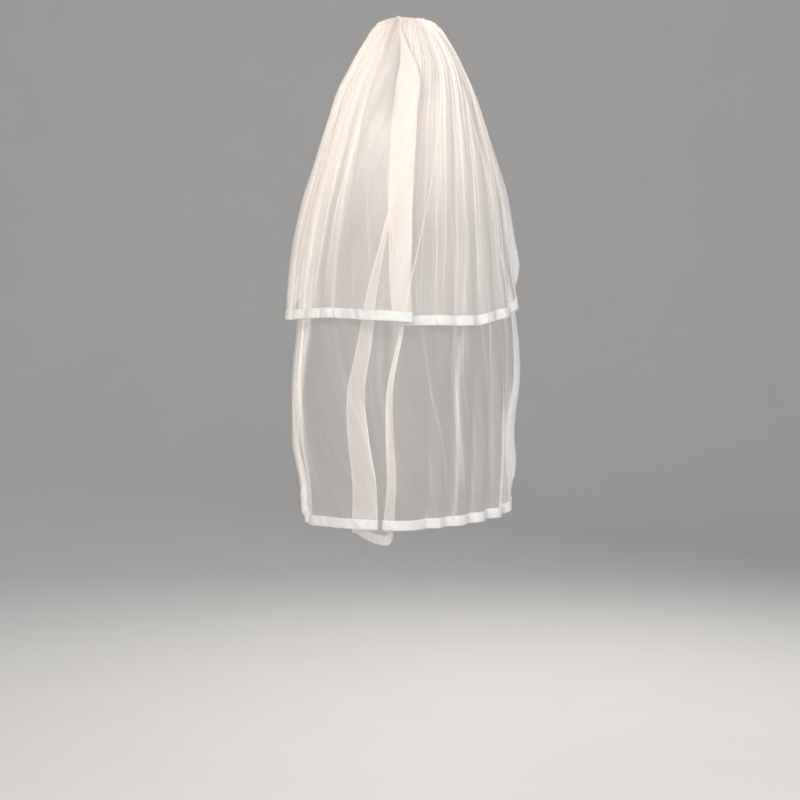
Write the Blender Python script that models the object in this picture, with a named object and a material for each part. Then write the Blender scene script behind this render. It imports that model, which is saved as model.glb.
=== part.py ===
"""A two-tier bridal veil of soft tulle, edged with satin ribbon and gathered onto a hair comb.

Metres, +Z up. The wearer faces +Y, so the veil's back is at -Y and its left edge at -X. The
origin is on the comb's bar, where the veil sits on the head. Each tier is a sheet of cloth: a
place on it is a share of its width, 0 at the left edge and 1 at the right, and a drop, the
distance down the cloth from the gathers."""

import math
from collections import namedtuple

import bmesh
import bpy
import numpy as np

VEIL = "bridal_veil"

# Cloth
NET_WALL = 0.0010
RIBBON_WALL = 0.0010
RIBBON_WIDTH = 0.022
SEAM_GAP = 0.00065
EDGE_SPAN = 0.70
LONG_LENGTH = 1.166
SHORT_LENGTH = 0.712
CORNER_ACROSS = 0.0875
CORNER_DOWN = 0.150
CORNER_STEPS = 4
RIBBON_START = 0.050

# Comb
COMB_LENGTH = 0.096
COMB_BAR_DEPTH = 0.007
COMB_THICKNESS = 0.003
COMB_BOW = 3.2
COMB_TILT = math.radians(-20.0)
TOOTH_COUNT = 20
TOOTH_LENGTH = 0.036
TOOTH_ROOT_WIDTH = 0.0024
TOOTH_TIP_WIDTH = 0.0012
TOOTH_TIP_TAPER = 0.003
FLAT = math.radians(1.0)
SAME_POINT = 1e-6

# The bare drape, a row for each section down the long tier. Each section is an arc of an
# ellipse, open at the front: its turns are the degrees from the middle of the back to the edges.
Section = namedtuple("Section", "drop height middle half_width depth centre left_turn right_turn")
SECTIONS = (
    Section(0.000, -0.0040, 0.0000, 0.0540, 0.0006, -0.0064, 60, 60),
    Section(0.012, 0.0075, 0.0000, 0.0540, 0.0030, -0.0064, 60, 60),
    Section(0.024, 0.0175, 0.0000, 0.0540, 0.0080, -0.0078, 64, 64),
    Section(0.036, 0.0212, 0.0005, 0.0585, 0.0160, -0.0080, 74, 74),
    Section(0.052, 0.0115, 0.0018, 0.0615, 0.0270, -0.0080, 87, 87),
    Section(0.075, -0.0060, 0.0025, 0.0712, 0.0430, -0.0050, 98, 98),
    Section(0.105, -0.0325, 0.0026, 0.0832, 0.0600, 0.0000, 106, 106),
    Section(0.150, -0.0760, 0.0015, 0.1030, 0.0800, 0.0070, 111, 112),
    Section(0.205, -0.1300, 0.0000, 0.1285, 0.1000, 0.0130, 113, 107),
    Section(0.270, -0.1930, 0.0005, 0.1500, 0.1210, 0.0190, 114, 100),
    Section(0.340, -0.2620, 0.0010, 0.1710, 0.1400, 0.0240, 114, 95),
    Section(0.400, -0.3210, 0.0010, 0.1890, 0.1530, 0.0260, 113, 91),
    Section(0.460, -0.3810, -0.0005, 0.2050, 0.1630, 0.0260, 112, 88),
    Section(0.540, -0.4600, -0.0030, 0.2190, 0.1730, 0.0250, 112, 87),
    Section(0.640, -0.5600, -0.0040, 0.2310, 0.1820, 0.0230, 114, 86),
    Section(0.740, -0.6600, -0.0010, 0.2390, 0.1900, 0.0210, 115, 86),
    Section(0.860, -0.7800, -0.0025, 0.2450, 0.1970, 0.0180, 114, 86),
    Section(0.960, -0.8800, -0.0010, 0.2420, 0.2000, 0.0160, 106, 86),
    Section(1.060, -0.9800, 0.0030, 0.2345, 0.2010, 0.0140, 98, 86),
    Section(1.180, -1.1000, 0.0070, 0.2270, 0.2020, 0.0120, 94, 85),
)

# How far the short tier stands outside the long one.
StandOff = namedtuple("StandOff", "drop gap")
SHORT_STAND_OFF = (
    StandOff(0.000, 0.0018),
    StandOff(0.012, 0.0032),
    StandOff(0.024, 0.0040),
    StandOff(0.050, 0.0055),
    StandOff(0.100, 0.0085),
    StandOff(0.200, 0.0120),
    StandOff(0.400, 0.0148),
    StandOff(0.720, 0.0158),
)

# The folds: where each one lies at the crown and at the hem, the widths of its left and right
# flanks, how far it stands out and how far it leans over, at the crown and at the hem. Places,
# flanks and leans are shares of the cloth's width.
Fold = namedtuple("Fold", "crown hem left right crown_rise hem_rise crown_lean hem_lean")
LONG_FOLDS = (
    Fold(0.020, 0.000, 0.028, 0.028, 0.003, 0.008, 0.000, 0.000),
    Fold(0.085, 0.068, 0.026, 0.026, 0.005, 0.015, 0.000, 0.010),
    Fold(0.150, 0.130, 0.028, 0.028, 0.005, 0.013, 0.000, -0.010),
    Fold(0.240, 0.190, 0.026, 0.024, 0.006, 0.014, 0.000, 0.012),
    Fold(0.560, 0.281, 0.120, 0.070, 0.0135, 0.050, 0.000, 0.160),
    Fold(0.750, 0.518, 0.042, 0.055, 0.011, 0.036, -0.010, -0.061),
    Fold(0.815, 0.605, 0.028, 0.028, 0.005, 0.014, 0.000, 0.010),
    Fold(0.858, 0.678, 0.030, 0.030, 0.005, 0.017, 0.000, -0.014),
    Fold(0.892, 0.752, 0.030, 0.030, 0.004, 0.013, 0.000, 0.012),
    Fold(0.924, 0.825, 0.028, 0.028, 0.004, 0.016, 0.000, 0.016),
    Fold(0.956, 0.895, 0.026, 0.026, 0.003, 0.014, 0.000, -0.010),
    Fold(1.000, 1.000, 0.042, 0.042, 0.009, 0.020, 0.000, 0.000),
)
SHORT_FOLDS = (
    Fold(0.020, 0.000, 0.024, 0.024, 0.003, 0.008, 0.000, 0.000),
    Fold(0.070, 0.060, 0.026, 0.026, 0.004, 0.011, 0.000, 0.008),
    Fold(0.130, 0.120, 0.028, 0.028, 0.005, 0.013, 0.000, -0.008),
    Fold(0.190, 0.185, 0.028, 0.028, 0.005, 0.012, 0.008, 0.012),
    Fold(0.245, 0.250, 0.028, 0.028, 0.005, 0.014, 0.000, -0.012),
    Fold(0.295, 0.312, 0.026, 0.026, 0.005, 0.012, 0.010, 0.010),
    Fold(0.340, 0.370, 0.024, 0.024, 0.006, 0.014, 0.008, 0.014),
    Fold(0.372, 0.440, 0.022, 0.020, 0.006, 0.013, 0.006, 0.018),
    Fold(0.400, 0.500, 0.060, 0.048, 0.014, 0.044, 0.155, 0.085),
    Fold(0.690, 0.668, 0.028, 0.028, 0.005, 0.012, 0.000, -0.010),
    Fold(0.745, 0.728, 0.028, 0.028, 0.005, 0.015, 0.008, 0.012),
    Fold(0.800, 0.790, 0.030, 0.030, 0.005, 0.013, -0.008, -0.012),
    Fold(0.855, 0.852, 0.028, 0.028, 0.005, 0.014, 0.000, 0.010),
    Fold(0.908, 0.912, 0.026, 0.026, 0.004, 0.011, 0.000, 0.006),
    Fold(1.000, 1.000, 0.042, 0.042, 0.007, 0.018, 0.000, 0.000),
)
TIP_ROUNDING = 0.30

# How far the hem hangs below its plain line, across the cloth.
Sag = namedtuple("Sag", "share drop")
LONG_SAG = (
    Sag(0.000, -0.012),
    Sag(0.120, -0.010),
    Sag(0.300, -0.014),
    Sag(0.345, -0.004),
    Sag(0.430, 0.020),
    Sag(0.465, 0.020),
    Sag(0.490, -0.004),
    Sag(0.560, -0.014),
    Sag(0.650, -0.018),
    Sag(0.780, -0.026),
    Sag(0.900, -0.034),
    Sag(1.000, -0.040),
)
SHORT_SAG = (
    Sag(0.000, 0.006),
    Sag(0.200, 0.000),
    Sag(0.460, -0.002),
    Sag(0.510, 0.006),
    Sag(0.560, 0.008),
    Sag(0.640, 0.008),
    Sag(0.780, 0.008),
    Sag(0.860, -0.008),
    Sag(1.000, -0.034),
)

# How far the side edges swing towards the middle, down the cloth.
Swing = namedtuple("Swing", "drop left right")
SWINGS = (
    Swing(0.000, 0.000, 0.000),
    Swing(0.200, 0.000, 0.002),
    Swing(0.310, 0.001, 0.006),
    Swing(0.450, 0.002, 0.009),
    Swing(0.560, 0.004, 0.012),
    Swing(0.650, 0.004, 0.003),
    Swing(0.720, 0.002, 0.000),
    Swing(0.800, -0.003, 0.000),
    Swing(0.880, -0.002, 0.004),
    Swing(0.950, -0.002, 0.014),
    Swing(1.010, -0.003, 0.016),
    Swing(1.070, 0.005, 0.008),
    Swing(1.120, 0.006, -0.002),
    Swing(1.180, 0.000, -0.008),
)
SWING_SHARE = 0.16

# Small gathers by the comb, which fade out down the head.
GATHER_COUNT = 22
GATHER_RISE = 0.0015
GATHER_START = 0.030
GATHER_FULL = 0.080
GATHER_END = 0.300
BOW_END = 0.150
LEAN_END = 0.220
SAG_START = 0.45
SMALL_STEP = 1e-4

# Rows of the nets, as drops, down to the ribbon's inner edge.
ROWS = (
    0.0, 0.012, 0.024, 0.030, 0.036, 0.044, 0.052, 0.072, 0.096, 0.125, 0.160, 0.205, 0.265, 0.340, 0.420
)
SHORT_ROWS = ROWS + (0.510, 0.600)
LONG_ROWS = ROWS + (0.510, 0.600, 0.700, 0.780, 0.870, 0.965, 1.060)
SIDE_STEPS = (0.033, 0.046, 0.064, 0.0875)
FOLD_STEPS = (-1.0, -0.55, -0.2, 0.2, 0.55)
LEANING_STEPS = (
    -1.0, -0.9, -0.8, -0.68, -0.56, -0.42, -0.28, -0.14, 0.0, 0.14, 0.28, 0.42, 0.56, 0.68, 0.8, 0.9
)
LEANING = 0.04
LEAST_COLUMN = 0.0060
MOST_COLUMN = 0.022
LEAST_SLANT = 0.6

# The long tier's folds open late and stay low until the cloth is clear of the short tier.
Tier = namedtuple("Tier", "name length stand_off folds sag rows opened grows_from grown")
LONG_TIER = Tier("long", LONG_LENGTH, (), LONG_FOLDS, LONG_SAG, LONG_ROWS, 0.550, 0.700, 1.040)
SHORT_TIER = Tier(
    "short", SHORT_LENGTH, SHORT_STAND_OFF, SHORT_FOLDS, SHORT_SAG, SHORT_ROWS, 0.120, 0.0, 0.700
)


def smooth_step(value, start, end):
    """0 before start, 1 after end and a smooth rise between."""
    part = np.clip((value - start) / (end - start), 0.0, 1.0)
    return part * part * (3.0 - 2.0 * part)


def curve_through(rows, place, column, at):
    """A smooth curve through one column of a table, read at some places."""
    knots = np.array([getattr(row, place) for row in rows])
    values = np.array([getattr(row, column) for row in rows], float)
    slopes = np.gradient(values, knots)
    at = np.clip(at, knots[0], knots[-1])
    index = np.clip(np.searchsorted(knots, at, side="right") - 1, 0, len(knots) - 2)
    step = knots[index + 1] - knots[index]
    t = (at - knots[index]) / step
    start_value = (1.0 + 2.0 * t) * (1.0 - t) ** 2 * values[index]
    end_value = t * t * (3.0 - 2.0 * t) * values[index + 1]
    start_slope = t * (1.0 - t) ** 2 * step * slopes[index]
    end_slope = t * t * (t - 1.0) * step * slopes[index + 1]
    return start_value + end_value + start_slope + end_slope


def drape(share, drop):
    """A point of the bare drape over the head, shoulders and back."""
    column = {name: curve_through(SECTIONS, "drop", name, drop) for name in Section._fields[1:]}
    turn = column["left_turn"] + column["right_turn"]
    bearing = np.radians(turn * share - column["left_turn"])
    x = column["middle"] + column["half_width"] * np.sin(bearing)
    y = column["centre"] - column["depth"] * np.cos(bearing)
    bow = COMB_BOW * x * x * (1.0 - smooth_step(drop, 0.0, BOW_END))
    return np.stack([x, y, column["height"] - bow], axis=-1)


def drape_normal(share, drop):
    """The direction out of the bare drape."""
    across = drape(share + SMALL_STEP, drop) - drape(share - SMALL_STEP, drop)
    top = np.maximum(drop - SMALL_STEP, 0.0)
    down = drape(share, drop + SMALL_STEP) - drape(share, top)
    normal = np.cross(down, across)
    return normal / np.linalg.norm(normal, axis=-1, keepdims=True)


def bump(away, left, right):
    """1 at the crest of a fold, falling smoothly to 0 over its left and right flanks."""
    part = np.where(away < 0.0, away / left, away / right)
    return np.cos(math.pi / 2.0 * np.clip(part, -1.0, 1.0)) ** 2


def tier_point(tier, share, drop):
    """A point of a tier's cloth: its folds and gathers, the sag of its hem, the swing of its edges."""
    share = np.asarray(share, float)
    drop = np.asarray(drop, float)
    down = np.clip(drop / tier.length, 0.0, 1.0)
    opened = smooth_step(drop, 0.0, tier.opened)
    grown = smooth_step(drop, tier.grows_from, tier.grown)
    leaning = smooth_step(drop, 0.0, LEAN_END)
    shift = np.zeros_like(share)
    rise = np.zeros_like(share)
    for fold in tier.folds:
        place = fold.crown + (fold.hem - fold.crown) * down
        lean = fold.crown_lean + (fold.hem_lean - fold.crown_lean) * down
        height = fold.crown_rise + (fold.hem_rise - fold.crown_rise) * grown
        ahead = np.clip(lean, -fold.left * TIP_ROUNDING, fold.right * TIP_ROUNDING)
        left = fold.left + 2.0 * np.maximum(-ahead, 0.0)
        right = fold.right + 2.0 * np.maximum(ahead, 0.0)
        shift = shift + lean * leaning * bump(share - place, fold.left, fold.right)
        rise = rise + height * opened * bump(share - place + ahead, left, right)
    gathered = smooth_step(drop, GATHER_START, GATHER_FULL)
    gathered = gathered * (1.0 - smooth_step(drop, GATHER_FULL, GATHER_END))
    wave = 0.5 - 0.5 * np.cos(2.0 * math.pi * GATHER_COUNT * share)
    rise = rise + GATHER_RISE * gathered * wave
    if tier.stand_off:
        rise = rise + curve_through(tier.stand_off, "drop", "gap", drop)
    point = drape(share + shift, drop)
    point = point + drape_normal(share + shift, drop) * rise[..., None]
    sag = curve_through(tier.sag, "share", "drop", share)
    point[..., 2] -= sag * smooth_step(down, SAG_START, 1.0)
    left = 1.0 - smooth_step(share, 0.0, SWING_SHARE)
    right = smooth_step(share, 1.0 - SWING_SHARE, 1.0)
    point[..., 0] += curve_through(SWINGS, "drop", "left", drop) * left
    point[..., 0] -= curve_through(SWINGS, "drop", "right", drop) * right
    return point


def edge_drop(tier, share, inset):
    """How far down the cloth its rounded outline lies, moved inwards by inset."""
    side = np.minimum(share, 1.0 - share) * EDGE_SPAN
    width = CORNER_ACROSS - inset
    across = np.clip(CORNER_ACROSS - side, 0.0, width) / width
    return tier.length - CORNER_DOWN + (CORNER_DOWN - inset) * np.sqrt(1.0 - across * across)


def tier_columns(tier):
    """The net's columns, each as its share of the width at the crown and at the hem."""
    columns = []
    for fold in tier.folds:
        leaning = max(abs(fold.crown_lean), abs(fold.hem_lean)) > LEANING
        for step in LEANING_STEPS if leaning else FOLD_STEPS:
            away = step * (fold.left if step < 0.0 else fold.right)
            columns.append((fold.crown + away, fold.hem + away))
    border = RIBBON_WIDTH / EDGE_SPAN
    sides = [step / EDGE_SPAN for step in SIDE_STEPS]
    edges = [0.0, border] + sides
    fixed = [(edge, edge) for edge in edges] + [(1.0 - edge, 1.0 - edge) for edge in edges]
    inner = border + LEAST_COLUMN
    chosen = list(fixed)
    for column in sorted(columns):
        clear = all(inner < share < 1.0 - inner for share in column)
        apart = all(
            (column[0] - other[0]) * (column[1] - other[1]) > 0.0
            and min(abs(column[0] - other[0]), abs(column[1] - other[1])) > LEAST_COLUMN
            for other in chosen
        )
        if clear and apart:
            chosen.append(column)
    chosen.sort()
    filled = [chosen[0]]
    for column in chosen[1:]:
        before = filled[-1]
        parts = math.ceil((column[1] - before[1]) / MOST_COLUMN)
        if before in (fixed[0], fixed[len(edges) + 1]):
            parts = 1
        for part in range(1, parts + 1):
            crown = before[0] + (column[0] - before[0]) * part / parts
            hem = before[1] + (column[1] - before[1]) * part / parts
            filled.append((crown, hem))
    return filled


def tier_sheet(tier):
    """A tier's cloth as an open surface: its points, triangles, and the triangles of the border."""
    columns = tier_columns(tier)
    last = len(columns) - 1
    inner_length = tier.length - RIBBON_WIDTH
    drops = list(tier.rows) + [inner_length]
    shares, depths, index = [], [], {}

    def add(key, share, depth):
        index[key] = len(shares)
        shares.append(share)
        depths.append(depth)

    for k, (crown, hem) in enumerate(columns):
        shrink = edge_drop(tier, hem, RIBBON_WIDTH) / inner_length
        for j, drop in enumerate(drops):
            depth = drop * shrink
            add((k, j), crown + (hem - crown) * depth / tier.length, depth)
        if 0 < k < last:
            add((k, len(drops)), hem, edge_drop(tier, hem, 0.0))
    corner_end = math.acos(1.0 - RIBBON_WIDTH / CORNER_ACROSS)
    for step in range(1, CORNER_STEPS):
        angle = corner_end * step / CORNER_STEPS
        side = CORNER_ACROSS * (1.0 - math.cos(angle)) / EDGE_SPAN
        depth = tier.length - CORNER_DOWN * (1.0 - math.sin(angle))
        add(("left", step), side, depth)
        add(("right", step), 1.0 - side, depth)

    net, border = [], []
    inner = len(drops) - 1
    for k in range(last):
        for j in range(len(drops)):
            if j == inner and k in (0, last - 1):
                continue
            a, b = index[k, j], index[k + 1, j]
            c, d = index[k + 1, j + 1], index[k, j + 1]
            left_half = columns[k][1] < 0.5
            pair = [(a, d, b), (b, d, c)] if left_half else [(a, d, c), (a, c, b)]
            net += pair
            side = k in (0, last - 1) and drops[j] >= RIBBON_START
            if j == inner or side:
                border += pair
    for side, edge, pivot in (("left", 0, 1), ("right", last, last - 1)):
        arc = [index[edge, inner]] + [index[side, step] for step in range(1, CORNER_STEPS)]
        arc.append(index[pivot, inner + 1])
        for start, end in zip(arc, arc[1:]):
            face = (index[pivot, inner], start, end)
            face = face if side == "left" else face[::-1]
            net.append(face)
            border.append(face)
    points = tier_point(tier, np.array(shares), np.array(depths))
    return points, net, border


def cloth_material(name, colour, roughness, alpha=1.0):
    """A cloth's colour and roughness."""
    material = bpy.data.materials.new(name)
    material.use_nodes = True
    shader = material.node_tree.nodes["Principled BSDF"]
    shader.inputs["Base Color"].default_value = (*colour, 1.0)
    shader.inputs["Roughness"].default_value = roughness
    shader.inputs["Metallic"].default_value = 0.0
    shader.inputs["Alpha"].default_value = alpha
    return material


def add_wall(name, near, far, faces, material, collection):
    """A closed cloth wall between a near and a far layer of points, over some of their faces."""
    used = sorted({corner for face in faces for corner in face})
    count = len(used)
    number = {old: new for new, old in enumerate(used)}
    outer = [tuple(number[corner] + count for corner in face) for face in faces]
    inner = [tuple(number[corner] for corner in reversed(face)) for face in faces]
    edges = {(face[i - 1], face[i]) for face in outer for i in range(3)}
    rims = []
    for start, end in sorted(edges):
        if (end, start) not in edges:
            rims.append((end, start, start - count))
            rims.append((end, start - count, end - count))
    points = [tuple(near[old]) for old in used] + [tuple(far[old]) for old in used]
    mesh = bpy.data.meshes.new(name)
    mesh.from_pydata(points, [], outer + inner + rims)
    mesh.materials.append(material)
    mesh.shade_smooth()
    collection.objects.link(bpy.data.objects.new(name, mesh))


def outward_normals(points, faces):
    """The mean direction out of the sheet at each point, longer at a crease so walls stay even."""
    corners = points[np.array(faces)]
    crosses = np.cross(corners[:, 1] - corners[:, 0], corners[:, 2] - corners[:, 0])
    crosses /= np.linalg.norm(crosses, axis=1, keepdims=True)
    normals = np.zeros_like(points)
    for corner in range(3):
        sides = corners[:, (corner + 1) % 3] - corners[:, corner]
        others = corners[:, (corner + 2) % 3] - corners[:, corner]
        cosines = np.sum(sides * others, axis=1)
        cosines /= np.linalg.norm(sides, axis=1) * np.linalg.norm(others, axis=1)
        angles = np.arccos(np.clip(cosines, -1.0, 1.0))
        np.add.at(normals, np.array(faces)[:, corner], crosses * angles[:, None])
    normals /= np.linalg.norm(normals, axis=1, keepdims=True)
    facing = np.ones(len(points))
    slants = np.sum(crosses[:, None] * normals[np.array(faces)], axis=2)
    np.minimum.at(facing, np.array(faces).ravel(), slants.ravel())
    return normals / np.maximum(facing, LEAST_SLANT)[:, None]


def make_tier(tier, net_material, ribbon_material, collection):
    """A tier's net, and the ribbon sewn on the outer face of its border."""
    points, net, border = tier_sheet(tier)
    out = outward_normals(points, net)
    half = NET_WALL / 2.0
    seat = half + SEAM_GAP
    name = f"{tier.name}_net"
    add_wall(name, points - out * half, points + out * half, net, net_material, collection)
    name = f"{tier.name}_ribbon"
    top = seat + RIBBON_WALL
    add_wall(name, points + out * seat, points + out * top, border, ribbon_material, collection)


def comb_outline():
    """The comb's outline seen from above: a bar with its teeth towards the face."""
    half = COMB_LENGTH / 2.0
    back = -COMB_BAR_DEPTH / 2.0
    front = COMB_BAR_DEPTH / 2.0
    pitch = (COMB_LENGTH - TOOTH_ROOT_WIDTH) / (TOOTH_COUNT - 1)
    outline = [(half, back), (-half, back)]
    for tooth in range(TOOTH_COUNT):
        x = -half + TOOTH_ROOT_WIDTH / 2.0 + tooth * pitch
        root = TOOTH_ROOT_WIDTH / 2.0
        tip = TOOTH_TIP_WIDTH / 2.0
        end = front + TOOTH_LENGTH
        outline += [(x - root, front), (x - root, end - TOOTH_TIP_TAPER), (x - tip, end)]
        outline += [(x + tip, end), (x + root, end - TOOTH_TIP_TAPER), (x + root, front)]
    return outline


def make_comb(material, collection):
    """The comb: a flat filled outline, bowed to the head and tilted down towards the face."""
    curve = bpy.data.curves.new("comb", "CURVE")
    curve.dimensions = "2D"
    curve.fill_mode = "BOTH"
    curve.extrude = COMB_THICKNESS / 2.0
    outline = comb_outline()
    spline = curve.splines.new("POLY")
    spline.points.add(len(outline) - 1)
    for point, (x, y) in zip(spline.points, outline):
        point.co = (x, y, 0.0, 1.0)
    spline.use_cyclic_u = True
    flat = bpy.data.objects.new("comb_outline", curve)
    collection.objects.link(flat)
    mesh = bpy.data.meshes.new_from_object(flat.evaluated_get(bpy.context.evaluated_depsgraph_get()))
    bpy.data.objects.remove(flat)
    shape = bmesh.new()
    shape.from_mesh(mesh)
    bmesh.ops.remove_doubles(shape, verts=shape.verts, dist=SAME_POINT)
    bmesh.ops.dissolve_limit(shape, angle_limit=FLAT, verts=shape.verts, edges=shape.edges)
    for tooth in range(1, TOOTH_COUNT):
        across = (COMB_LENGTH * (tooth / TOOTH_COUNT - 0.5), 0.0, 0.0)
        everything = shape.verts[:] + shape.edges[:] + shape.faces[:]
        bmesh.ops.bisect_plane(shape, geom=everything, plane_co=across, plane_no=(1.0, 0.0, 0.0))
    for vert in shape.verts:
        x, y, z = vert.co
        turned_y = y * math.cos(COMB_TILT) - z * math.sin(COMB_TILT)
        turned_z = y * math.sin(COMB_TILT) + z * math.cos(COMB_TILT)
        vert.co = (x, turned_y, turned_z + COMB_THICKNESS / 2.0 - COMB_BOW * x * x)
    bmesh.ops.recalc_face_normals(shape, faces=shape.faces)
    shape.to_mesh(mesh)
    shape.free()
    mesh.name = "comb"
    mesh.materials.clear()
    mesh.materials.append(material)
    comb = bpy.data.objects.new("comb", mesh)
    collection.objects.link(comb)


def main():
    for item in list(bpy.data.objects):
        bpy.data.objects.remove(item)
    collection = bpy.data.collections.new(VEIL)
    bpy.context.scene.collection.children.link(collection)
    tulle = cloth_material("ivory_tulle", (0.93, 0.88, 0.83), 0.85, 0.35)
    satin = cloth_material("ivory_satin", (0.86, 0.83, 0.79), 0.38)
    plastic = cloth_material("clear_plastic", (0.90, 0.91, 0.90), 0.15, 0.6)
    make_tier(LONG_TIER, tulle, satin, collection)
    make_tier(SHORT_TIER, tulle, satin, collection)
    make_comb(plastic, collection)


main()
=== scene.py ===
import math
from collections import namedtuple

import bmesh
import bpy
import numpy as np
from mathutils import Matrix, Vector


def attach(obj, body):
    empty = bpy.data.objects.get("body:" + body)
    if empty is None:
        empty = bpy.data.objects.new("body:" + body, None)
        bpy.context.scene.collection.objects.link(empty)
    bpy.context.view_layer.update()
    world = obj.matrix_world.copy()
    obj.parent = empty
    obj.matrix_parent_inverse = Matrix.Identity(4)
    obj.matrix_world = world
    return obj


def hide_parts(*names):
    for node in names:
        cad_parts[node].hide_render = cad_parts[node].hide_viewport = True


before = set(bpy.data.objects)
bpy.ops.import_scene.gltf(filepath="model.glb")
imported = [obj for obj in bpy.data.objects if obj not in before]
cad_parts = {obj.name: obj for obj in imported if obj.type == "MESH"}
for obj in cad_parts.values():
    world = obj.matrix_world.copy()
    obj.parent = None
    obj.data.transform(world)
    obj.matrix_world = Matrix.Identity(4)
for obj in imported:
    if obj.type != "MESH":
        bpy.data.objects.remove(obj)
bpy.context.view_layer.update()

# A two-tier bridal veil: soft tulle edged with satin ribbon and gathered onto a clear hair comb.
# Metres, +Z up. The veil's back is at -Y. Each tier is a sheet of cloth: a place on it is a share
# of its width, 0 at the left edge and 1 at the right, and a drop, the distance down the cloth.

# Cloth, in metres. The edge span turns a width near the side edges into a share of the cloth.
RIBBON_WIDTH = 0.022
EDGE_SPAN = 0.70
LONG_LENGTH = 1.166
SHORT_LENGTH = 0.712
CORNER_ACROSS = 0.0875
CORNER_DOWN = 0.150
RIBBON_START = 0.050
LONG_FLAT_WIDTH = 1.05
SHORT_FLAT_WIDTH = 1.03

# Comb
COMB_LENGTH = 0.096
COMB_BOW = 3.2
COMB_TILT = math.radians(-20.0)
TOOTH_COUNT = 20
TOOTH_ROOT_WIDTH = 0.0024

# The bare drape, a row for each section down the long tier. Each section is an arc of an
# ellipse, open at the front: its turns are the degrees from the middle of the back to the edges.
Section = namedtuple("Section", "drop height middle half_width depth centre left_turn right_turn")
SECTIONS = (
    Section(0.000, -0.0040, 0.0000, 0.0540, 0.0006, -0.0064, 60, 60),
    Section(0.012, 0.0075, 0.0000, 0.0540, 0.0030, -0.0064, 60, 60),
    Section(0.024, 0.0175, 0.0000, 0.0540, 0.0080, -0.0078, 64, 64),
    Section(0.036, 0.0212, 0.0005, 0.0585, 0.0160, -0.0080, 74, 74),
    Section(0.052, 0.0115, 0.0018, 0.0615, 0.0270, -0.0080, 87, 87),
    Section(0.075, -0.0060, 0.0025, 0.0712, 0.0430, -0.0050, 98, 98),
    Section(0.105, -0.0325, 0.0026, 0.0832, 0.0600, 0.0000, 106, 106),
    Section(0.150, -0.0760, 0.0015, 0.1030, 0.0800, 0.0070, 111, 112),
    Section(0.205, -0.1300, 0.0000, 0.1285, 0.1000, 0.0130, 113, 107),
    Section(0.270, -0.1930, 0.0005, 0.1500, 0.1210, 0.0190, 114, 100),
    Section(0.340, -0.2620, 0.0010, 0.1710, 0.1400, 0.0240, 114, 95),
    Section(0.400, -0.3210, 0.0010, 0.1890, 0.1530, 0.0260, 113, 91),
    Section(0.460, -0.3810, -0.0005, 0.2050, 0.1630, 0.0260, 112, 88),
    Section(0.540, -0.4600, -0.0030, 0.2190, 0.1730, 0.0250, 112, 87),
    Section(0.640, -0.5600, -0.0040, 0.2310, 0.1820, 0.0230, 114, 86),
    Section(0.740, -0.6600, -0.0010, 0.2390, 0.1900, 0.0210, 115, 86),
    Section(0.860, -0.7800, -0.0025, 0.2450, 0.1970, 0.0180, 114, 86),
    Section(0.960, -0.8800, -0.0010, 0.2420, 0.2000, 0.0160, 106, 86),
    Section(1.060, -0.9800, 0.0030, 0.2345, 0.2010, 0.0140, 98, 86),
    Section(1.180, -1.1000, 0.0070, 0.2270, 0.2020, 0.0120, 94, 85),
)

# How far the short tier stands outside the long one.
StandOff = namedtuple("StandOff", "drop gap")
SHORT_STAND_OFF = (
    StandOff(0.000, 0.0018),
    StandOff(0.012, 0.0032),
    StandOff(0.024, 0.0040),
    StandOff(0.050, 0.0055),
    StandOff(0.100, 0.0085),
    StandOff(0.200, 0.0120),
    StandOff(0.400, 0.0148),
    StandOff(0.720, 0.0158),
)

# The folds: where each one lies at the crown and at the hem, the widths of its left and right
# flanks, how far it stands out and how far it leans over, at the crown and at the hem.
Fold = namedtuple("Fold", "crown hem left right crown_rise hem_rise crown_lean hem_lean")
LONG_FOLDS = (
    Fold(0.020, 0.000, 0.028, 0.028, 0.003, 0.008, 0.000, 0.000),
    Fold(0.085, 0.068, 0.026, 0.026, 0.005, 0.015, 0.000, 0.010),
    Fold(0.150, 0.130, 0.028, 0.028, 0.005, 0.013, 0.000, -0.010),
    Fold(0.240, 0.190, 0.026, 0.024, 0.006, 0.014, 0.000, 0.012),
    Fold(0.560, 0.281, 0.120, 0.070, 0.0135, 0.050, 0.000, 0.160),
    Fold(0.750, 0.518, 0.042, 0.055, 0.011, 0.036, -0.010, -0.061),
    Fold(0.815, 0.605, 0.028, 0.028, 0.005, 0.014, 0.000, 0.010),
    Fold(0.858, 0.678, 0.030, 0.030, 0.005, 0.017, 0.000, -0.014),
    Fold(0.892, 0.752, 0.030, 0.030, 0.004, 0.013, 0.000, 0.012),
    Fold(0.924, 0.825, 0.028, 0.028, 0.004, 0.016, 0.000, 0.016),
    Fold(0.956, 0.895, 0.026, 0.026, 0.003, 0.014, 0.000, -0.010),
    Fold(1.000, 1.000, 0.042, 0.042, 0.009, 0.020, 0.000, 0.000),
)
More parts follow.
